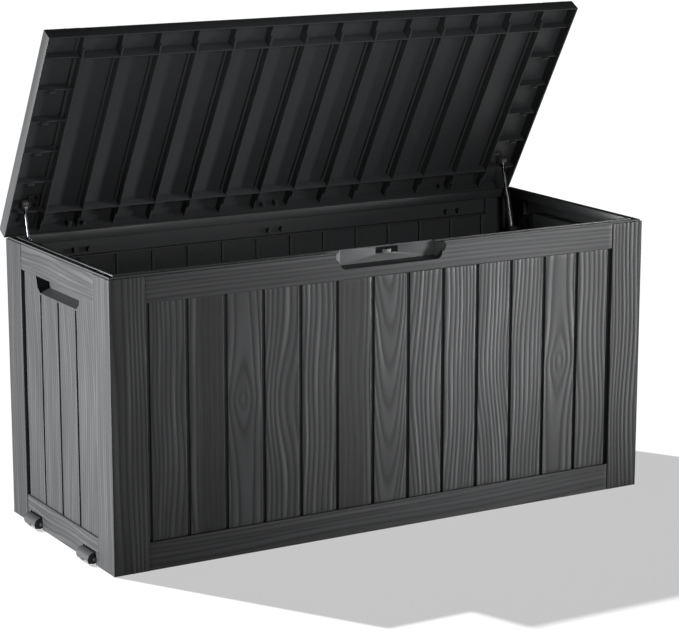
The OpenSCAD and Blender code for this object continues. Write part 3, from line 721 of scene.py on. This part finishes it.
    def press(
        self,
        faces: list[bmesh.types.BMFace],
        ends: tuple[Vector, Vector],
        grain: "BoardGrain",
        place: bmesh.types.BMLayerItem,
        height: bmesh.types.BMLayerItem,
    ) -> None:
        """Presses the grain and the rounded edges into one board.

        Args:
            faces: The board's cut faces.
            ends: Its lowest and highest corner.
            grain: The board's growth lines.
            place: Layer for the place on the board, for the fibres.
            height: Layer for how raised the grain is.
        """
        low, high = ends
        upright = is_upright(low, high)
        verts = list({v for f in faces for v in f.verts})
        spots = np.array([v.co for v in verts])
        across, along = (spots[:, 0], spots[:, 2]) if upright else (spots[:, 2], spots[:, 0])
        middle = (low + high) / 2
        centre = (middle.x, middle.z) if upright else (middle.z, middle.x)
        raised = grain.height(across - centre[0], along - centre[1])
        edge = np.minimum.reduce(
            [spots[:, 0] - low.x, high.x - spots[:, 0], spots[:, 2] - low.z, high.z - spots[:, 2]]
        )
        inside = np.clip(1 - edge / self.round_edge, 0, 1)
        rounded = self.round_edge * (1 - np.sqrt(1 - np.minimum(inside, 0.995) ** 2))
        sunk = grain.depth(raised) + rounded
        for vert, down, up, a, l in zip(verts, sunk, raised, across, along):
            vert.co.y += down
            vert[height] = up
            vert[place] = (a + grain.phases[5], l, 0.0)

    def slice(
        self,
        bm: bmesh.types.BMesh,
        faces: set[bmesh.types.BMFace],
        axis: int,
        places: list[float],
    ) -> set[bmesh.types.BMFace]:
        """Cuts faces at each place along an axis, from the low side to the high one.

        Args:
            bm: The mesh.
            faces: The faces to cut.
            axis: The axis along which the places lie.
            places: Where the cuts are, in rising order.

        Returns:
            All the faces after the cuts.
        """
        done: set[bmesh.types.BMFace] = set()
        ahead = faces
        normal = Vector((axis == 0, 0, axis == 2))
        for at in places:
            geometry = list(ahead) + list({e for f in ahead for e in f.edges})
            geometry += list({v for f in ahead for v in f.verts})
            result = bmesh.ops.bisect_plane(
                bm, geom=geometry, dist=1e-7, plane_co=normal * at, plane_no=normal
            )
            ahead = set()
            for face in result["geom"]:
                if isinstance(face, bmesh.types.BMFace):
                    past = face.calc_center_bounds()[axis] > at
                    (ahead if past else done).add(face)
        return done | ahead

    def cuts(self, low: float, high: float, step: float) -> list[float]:
        """Lists where a board is cut: close together at its edges, even between them.

        Args:
            low: The board's lower edge.
            high: The board's upper edge.
            step: Distance between the even cuts.

        Returns:
            The places of the cuts.
        """
        near = [share * self.round_edge for share in (0.08, 0.3, 0.6, 1.0)]
        inner_low, inner_high = low + self.round_edge, high - self.round_edge
        count = max(1, round((inner_high - inner_low) / step))
        even = [inner_low + (inner_high - inner_low) * i / count for i in range(1, count)]
        return [low + n for n in near] + even + [high - n for n in reversed(near)]

    def grain(self, number: int, figure: Figure, size: Vector) -> BoardGrain:
        """Makes one board's grain.

        Args:
            number: The board's place in the order of boards.
            figure: How its lines run.
            size: The board's size.

        Returns:
            Its grain.
        """
        width, length = sorted((size.x, size.z))
        strength = 0.45 if figure is Figure.FAINT else 1.0
        return BoardGrain(width, length, figure, 100 * self.seed + number, strength * self.relief)

    def mark_edges(self, bm: bmesh.types.BMesh, boards: set[bmesh.types.BMFace]) -> None:
        """Shades the boards and rounded edges smooth, and keeps other corners sharp."""
        for face in bm.faces:
            face.smooth = True
        for edge in bm.edges:
            inner = all(f in boards for f in edge.link_faces)
            edge.smooth = inner or edge.calc_face_angle(math.pi) < SHARP_ANGLE


def is_upright(low: Vector, high: Vector) -> bool:
    """Tells whether a board's grain runs up it: whether it is taller than it is wide."""
    return high.z - low.z > high.x - low.x


def extent(faces: list[bmesh.types.BMFace]) -> tuple[Vector, Vector]:
    """Returns the lowest and the highest corner of some faces."""
    spots = np.array([v.co for f in faces for v in f.verts])
    return Vector(spots.min(0)), Vector(spots.max(0))


def weld(bm: bmesh.types.BMesh) -> None:
    """Joins split corners and merges flat neighbours, so that each flat face is one face."""
    bmesh.ops.remove_doubles(bm, verts=bm.verts, dist=0.002 * MM)
    bmesh.ops.dissolve_limit(
        bm,
        angle_limit=math.radians(0.4),
        verts=bm.verts,
        edges=bm.edges,
        use_dissolve_boundaries=False,
    )
    bm.normal_update()


def break_edges(
    bm: bmesh.types.BMesh, width: float, wanted: Callable[[bmesh.types.BMEdge], bool]
) -> None:
    """Rounds the sharp outer edges a little, as a mould or a deburring wheel leaves them.

    Args:
        bm: The mesh.
        width: How far the rounding reaches from each edge.
        wanted: Tells whether an edge may be rounded.
    """
    least = 3 * width

    def fits(edge: bmesh.types.BMEdge) -> bool:
        """Tells whether an edge is outer, sharp and long enough to be rounded."""
        if len(edge.link_faces) != 2 or not edge.is_convex or edge.calc_length() < least:
            return False
        return edge.calc_face_angle() > math.radians(50) and wanted(edge)

    edges = [e for e in bm.edges if fits(e)]
    bmesh.ops.bevel(
        bm,
        geom=edges,
        offset=width,
        offset_type="OFFSET",
        segments=2,
        profile=0.5,
        affect="EDGES",
        clamp_overlap=False,
        loop_slide=False,
    )
    bm.normal_update()


def node_mesh(node: str, name: str) -> bpy.types.Mesh:
    """Copies a CAD node's mesh, without the corner normals, which don't outlive a changed mesh.

    Args:
        node: The CAD node.
        name: The copy's name.

    Returns:
        The copy, with no materials.
    """
    mesh = frame["nodes"][node].data.copy()
    mesh.name = name
    mesh.materials.clear()
    stale = mesh.attributes.get("custom_normal")
    if stale:
        mesh.attributes.remove(stale)
    return mesh


@dataclass
class Walls:
    """The four wall panels.

    Attributes:
        relief: Height of the grain on the front and the back.
        side_relief: Height of the grain on the ends.
        front_figures: The front's uprights from left to right; the back has them reversed.
        side_figures: The ends' uprights, repeated.
    """

    relief: float = 1.0 * MM
    side_relief: float = 0.35 * MM
    front_figures: tuple[Figure, ...] = (
        Figure.STRAIGHT,
        Figure.STRAIGHT,
        Figure.QUIET,
        Figure.EYE,
        Figure.SWAY,
        Figure.STRAIGHT,
        Figure.QUIET,
        Figure.ARCHES,
        Figure.SWAY,
        Figure.STRAIGHT,
        Figure.SWAY,
        Figure.STRAIGHT,
        Figure.EYE,
        Figure.STRAIGHT,
        Figure.STRAIGHT,
    )
    side_figures: tuple[Figure, ...] = (Figure.STRAIGHT, Figure.SWAY)

    def build(self) -> None:
        """Builds the four panels, each in its own face frame."""
        panels = {
            "front_panel": (0, self.front_figures, self.relief),
            "right_panel": (1, self.side_figures, self.side_relief),
            "back_panel": (2, self.front_figures[::-1], self.relief),
            "left_panel": (3, self.side_figures, self.side_relief),
        }
        for name, (side, figures, relief) in panels.items():
            BoardMoulding(
                node=name,
                body="box",
                slot="wall_resin",
                to_local=self.face_frame(name, side),
                figures=figures,
                relief=relief,
                seed=side + 1,
            ).build()

    def face_frame(self, name: str, side: int) -> Matrix:
        """Gives the turn and shift into a wall's face frame.

        Args:
            name: The wall's node.
            side: Quarter turns from the front: 1 right, 2 back, 3 left.

        Returns:
            The matrix from the row frame to the face frame.
        """
        low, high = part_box(name)
        reach = (-low.y, high.x, high.y, -low.x)[side]
        turn = Matrix.Rotation(-side * math.pi / 2, 4, "Z")
        return Matrix.Translation((0, reach, 0)) @ turn


@dataclass
class Lid:
    """The lid: boards on top, bare ribs below.

    Attributes:
        relief: Height of the grain.
        figures: The uprights, repeated.
    """

    relief: float = 0.9 * MM
    figures: tuple[Figure, ...] = (
        Figure.STRAIGHT,
        Figure.SWAY,
        Figure.EYE,
        Figure.STRAIGHT,
        Figure.QUIET,
        Figure.ARCHES,
    )

    def build(self) -> None:
        """Builds the lid around its node, which is drawn open."""
        joint = next(j for j in frame["joints"] if j["name"] == "lid_hinge")
        hinge = Vector(joint["pos_m"])
        shut = Matrix.Rotation(math.radians(joint["range_deg"][1]), 4, "X")
        closed = Matrix.Translation(hinge) @ shut @ Matrix.Translation(-hinge)
        top = max((closed @ v.co).z for v in frame["nodes"]["lid"].data.vertices)
        # X stays, the closed lid's downward direction becomes Y, and its depth becomes Z
        stand = Matrix(((1, 0, 0, 0), (0, 0, -1, top), (0, 1, 0, 0), (0, 0, 0, 1)))
        BoardMoulding(
            node="lid",
            body="lid",
            slot="lid_resin",
            to_local=stand @ closed,
            figures=self.figures,
            relief=self.relief,
            seed=9,
            deepest_board=3 * MM,
        ).build()


@dataclass
class Hardware:
    """Everything that is not a board moulding: base, hinges, struts, rollers and screws.

    Attributes:
        edge_break: How far the edges of pressed and moulded hardware are rounded.
        finishes: What each of the record's material slots is finished with.
    """

    edge_break: float = 0.35 * MM
    finishes: dict[str, Finish] = field(
        default_factory=lambda: {
            "base_resin": BASE_RESIN,
            "housing_resin": HOUSING,
            "roller_nylon": ROLLER_NYLON,
            "socket_nylon": SOCKET_NYLON,
            "hinge_paint": BLACK_PAINT,
            "cylinder_paint": CYLINDER_PAINT,
            "rod_steel": ROD_STEEL,
            "bracket_paint": BLACK_PAINT,
            "pin_steel": PIN_STEEL,
            "screw_steel": BLACK_ZINC,
        }
    )

    def build(self, record: dict, done: set[str]) -> None:
        """Gives every remaining node its finish, and broken edges where they show.

        Args:
            record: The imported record.
            done: Nodes that other pieces stand for.
        """
        slots = {part["node"]: part["material_slot"] for part in record["subparts"]}
        homes = {n: b for b, nodes in record["behaviour"]["bodies"].items() for n in nodes}
        for name, slot in sorted(slots.items()):
            if name in done:
                continue
            finish = AXLE_STEEL if name.endswith("_axle") else self.finishes[slot]
            self.soften(name, homes[name], finish)

    def soften(self, name: str, body: str, finish: Finish) -> None:
        """Stands a copy with broken edges in the place of a node.

        Args:
            name: The CAD node.
            body: The body that it rides on.
            finish: What its surface is.
        """
        mesh = node_mesh(name, name + "_piece")
        bm = bmesh.new()
        bm.from_mesh(mesh)
        weld(bm)
        break_edges(bm, self.edge_break, lambda edge: True)
        for face in bm.faces:
            face.smooth = True
        for edge in bm.edges:
            edge.smooth = edge.calc_face_angle(math.pi) < SHARP_ANGLE
        bm.to_mesh(mesh)
        bm.free()
        mesh.materials.append(finish.material())
        piece = bpy.data.objects.new(name + "_piece", mesh)
        bpy.context.scene.collection.objects.link(piece)
        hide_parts(name)
        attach(piece, body)
        log.info("%s: %s, %d faces", name, finish.name, len(mesh.polygons))


# ---- studio ----------------------------------------------------------------------------------


@dataclass
class Studio:
    """The floor, the lights and the camera.

    Attributes:
        azimuth: Where the camera stands, in degrees round from the front.
        elevation: How far the camera looks down, in degrees.
        distance: From the camera to the point that it looks at, in widths of the box.
        aim: The point looked at, in widths of the box from the middle of its footprint.
        lens: Focal length in millimetres, on a sensor 36 mm wide.
        floor_size: Length of the floor's sides, in metres.
    """

    azimuth: float = -30.27
    elevation: float = 12.52
    distance: float = 4.0487
    aim: tuple[float, float, float] = (0.0181, 0.0, 0.3168)
    lens: float = 126.92
    floor_size: float = 80.0

    def build(self, width: float) -> None:
        """Builds the studio.

        Args:
            width: The box's width, which places the camera and the lights.
        """
        floor = self.lay_floor()
        self.set_lights(width, floor)
        self.set_camera(width)
        view = bpy.context.scene.view_settings
        view.view_transform = "Standard"

    def lay_floor(self) -> bpy.types.Object:
        """Lays a pale floor that fills the view.

        Returns:
            The floor.
        """
        half = self.floor_size / 2
        mesh = bpy.data.meshes.new("studio_floor")
        corners = [(-half, -half, 0), (half, -half, 0), (half, half, 0), (-half, half, 0)]
        mesh.from_pydata(corners, [], [(0, 1, 2, 3)])
        mesh.materials.append(FLOOR.material())
        floor = bpy.data.objects.new("studio_floor", mesh)
        bpy.context.scene.collection.objects.link(floor)
        return floor

    def set_lights(self, width: float, floor: bpy.types.Object) -> None:
        """Sets a dim room, a sun from behind, and soft lights at the left and the right.

        The sun lights the floor alone, where it draws the long shadow, and the soft lights leave
        the floor out, so that the shadow stays even.

        Args:
            width: The box's width, in which the lights' places are given.
            floor: The studio floor.
        """
        floor_only = bpy.data.collections.new("floor_only")
        floor_only.objects.link(floor)
        not_floor = bpy.data.collections.new("not_floor")
        not_floor.objects.link(floor)
        not_floor.collection_objects[0].light_linking.link_state = "EXCLUDE"
        world = bpy.data.worlds.new("studio")
        bpy.context.scene.world = world
        world.use_nodes = True
        background = world.node_tree.nodes["Background"]
        background.inputs["Color"].default_value = linear("#f4f6f8")
        background.inputs["Strength"].default_value = 0.03
        sun = self.add_light("SUN", "sun", (-0.367, 0.611, 0.70), (0, 0, 0), 6.0, angle=0.017)
        sun.light_linking.receiver_collection = floor_only
        for name, place, target, energy, size, spread in (
            ("left_box", (-2.4, 0.5, 0.45), (-0.5, -0.2, 0.25), 50.0, (0.7, 0.7), 60),
            ("right_box", (1.7, -1.1, 0.3), (0.12, -0.2, 0.26), 5.6, (0.3, 0.8), 24),
            ("front_box", (-0.2, -2.6, 1.2), (0.1, 0.2, 0.75), 3.5, (1.2, 0.4), 30),
        ):
            spot, aim = ([x * width for x in p] for p in (place, target))
            lamp = self.add_light(
                "AREA",
                name,
                spot,
                aim,
                energy,
                shape="RECTANGLE",
                size=size[0],
                size_y=size[1],
                spread=math.radians(spread),
            )
            lamp.light_linking.receiver_collection = not_floor

    def add_light(
        self,
        kind: str,
        name: str,
        place: tuple[float, float, float],
        target: tuple[float, float, float],
        energy: float,
        **settings: float | str,
    ) -> bpy.types.Object:
        """Adds one light that points from its place to its target.

        Args:
            kind: Blender's light type.
            name: The light's name.
            place: Where it stands.
            target: What it points at.
            energy: Its strength.
            **settings: Fields of the light, such as its size.

        Returns:
            The light.
        """
        light = bpy.data.lights.new(name, kind)
        light.energy = energy
        for setting, value in settings.items():
            setattr(light, setting, value)
        lamp = bpy.data.objects.new(name, light)
        lamp.location = place
        lamp.rotation_euler = (Vector(target) - Vector(place)).to_track_quat("-Z", "Y").to_euler()
        bpy.context.scene.collection.objects.link(lamp)
        return lamp

    def set_camera(self, width: float) -> None:
        """Stands the camera at its angle and distance from the point that it looks at."""
        azimuth, elevation = math.radians(self.azimuth), math.radians(self.elevation)
        back = Vector(
            (
                math.sin(azimuth) * math.cos(elevation),
                -math.cos(azimuth) * math.cos(elevation),
                math.sin(elevation),
            )
        )
        camera = bpy.data.cameras.new("camera")
        camera.lens = self.lens
        camera.sensor_width = 36.0
        camera.clip_end = 200.0
        stand = bpy.data.objects.new("camera", camera)
        aim = Vector(self.aim) * width
        stand.location = aim + back * self.distance * width
        stand.rotation_euler = (-back).to_track_quat("-Z", "Y").to_euler()
        bpy.context.scene.collection.objects.link(stand)
        bpy.context.scene.camera = stand


def main() -> None:
    """Builds the box's pieces in order, then the studio."""
    logging.basicConfig(level=logging.INFO, format="%(name)s %(message)s")
    Walls().build()
    Lid().build()
    boards = {"front_panel", "back_panel", "left_panel", "right_panel", "lid"}
    Hardware().build(frame["record"], boards)
    low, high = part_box("front_panel")
    Studio().build(high.x - low.x)


if __name__ == "__main__":
    main()
